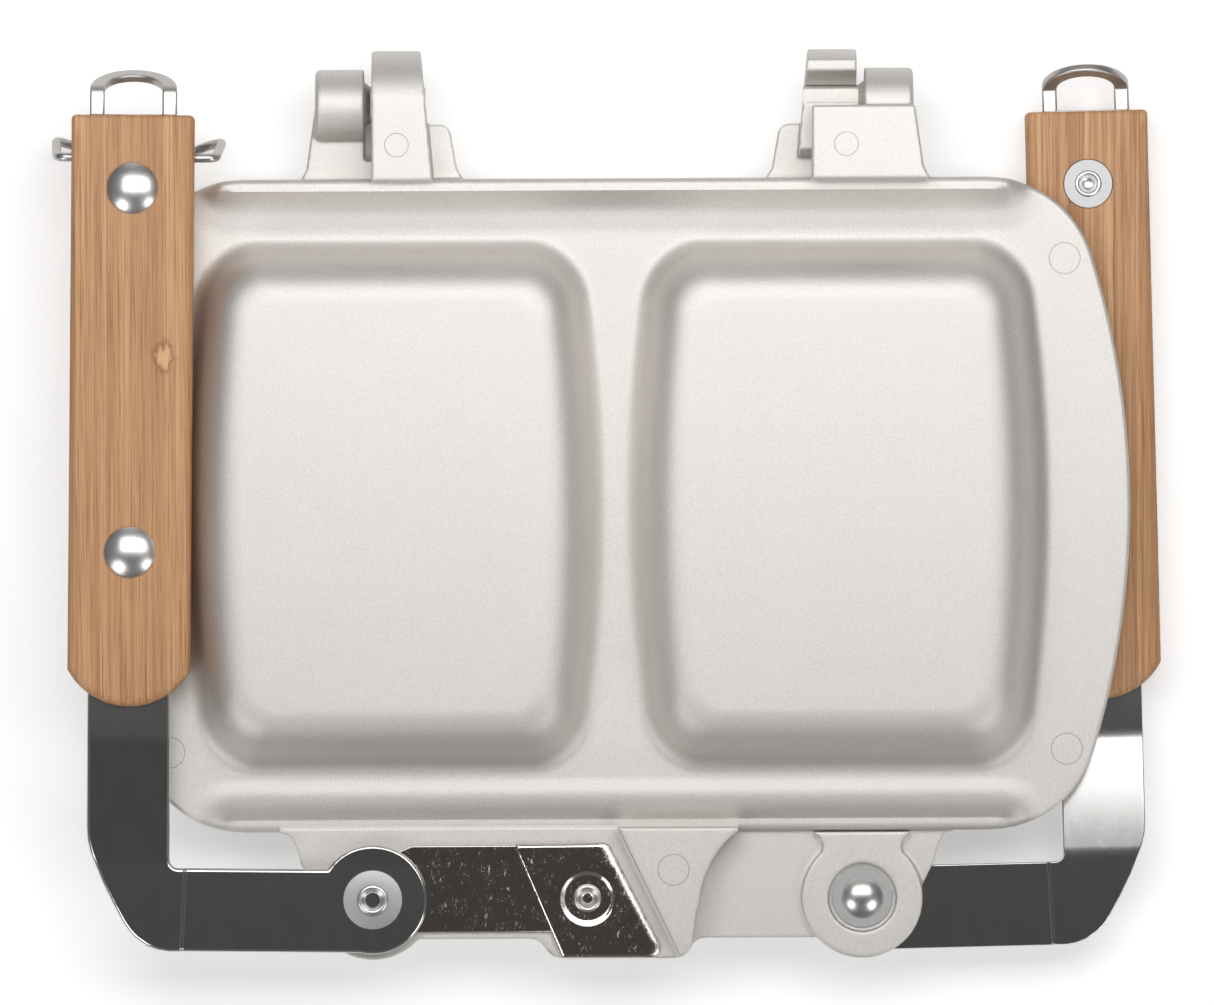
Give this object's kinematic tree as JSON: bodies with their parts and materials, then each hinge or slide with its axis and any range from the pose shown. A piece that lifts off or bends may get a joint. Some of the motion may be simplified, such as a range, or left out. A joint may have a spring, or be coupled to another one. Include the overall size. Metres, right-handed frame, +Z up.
{
  "type": "pie iron",
  "caption": "Folding sandwich iron: hinged cast plates with bread pockets, bamboo-gripped handles that fold sideways, and a wire bail that locks the handles together.",
  "frame": {"origin": "on the table, under the middle of the closed iron with both handles folded in", "axes": "+X across both pockets, +Y towards the hinge, +Z up out of the upper plate"},
  "size_m": [0.2721, 0.2228, 0.04],
  "materials": {
    "cast_aluminium": "blasted",
    "polished_steel": "polished",
    "rivet_steel": "polished",
    "washer_steel": "satin",
    "arm_steel": "satin",
    "bamboo": "oiled",
    "bail_wire": "bright"
  },
  "bodies": {
    "lower_half": {"lower_plate": "cast_aluminium", "lower_handle_bracket": "polished_steel", "lower_bracket_rivet": "rivet_steel", "lower_pivot_rivet": "rivet_steel", "lower_pivot_front_washer": "washer_steel", "lower_pivot_back_washer": "washer_steel"},
    "upper_half": {"upper_plate": "cast_aluminium", "upper_handle_bracket": "polished_steel", "upper_bracket_rivet": "rivet_steel", "upper_pivot_rivet": "rivet_steel", "upper_pivot_front_washer": "washer_steel", "upper_pivot_back_washer": "washer_steel"},
    "lower_handle": {"lower_handle_arm": "arm_steel", "lower_grip_outer_scale": "bamboo", "lower_grip_inner_scale": "bamboo", "lower_grip_rivets": "rivet_steel", "lower_grip_rivet_washers": "washer_steel"},
    "upper_handle": {"upper_handle_arm": "arm_steel", "upper_grip_outer_scale": "bamboo", "upper_grip_inner_scale": "bamboo", "upper_grip_rivets": "rivet_steel", "upper_grip_rivet_washers": "washer_steel"},
    "bail": {"locking_bail": "bail_wire"}
  },
  "joints": [
    {"name": "clamshell", "type": "hinge", "parent": "lower_half", "child": "upper_half", "pos_m": [0, 0.0984, 0.02], "axis": [-1, 0, 0], "range_deg": [0, 180]},
    {"name": "upper_handle_fold", "type": "hinge", "parent": "upper_half", "child": "upper_handle", "pos_m": [-0.0576, -0.0965, 0.0252], "axis": [0, 0, 1], "range_deg": [0, 180.7]},
    {"name": "lower_handle_fold", "type": "hinge", "parent": "lower_half", "child": "lower_handle", "pos_m": [0.0624, -0.0965, 0.0148], "axis": [0, 0, -1], "range_deg": [0, 181.2]},
    {"name": "bail_swing", "type": "hinge", "parent": "upper_handle", "child": "bail", "pos_m": [-0.11538, 0.08552, 0.0303], "axis": [0.9999, -0.0122, 0], "range_deg": [0, 180]}
  ]
}
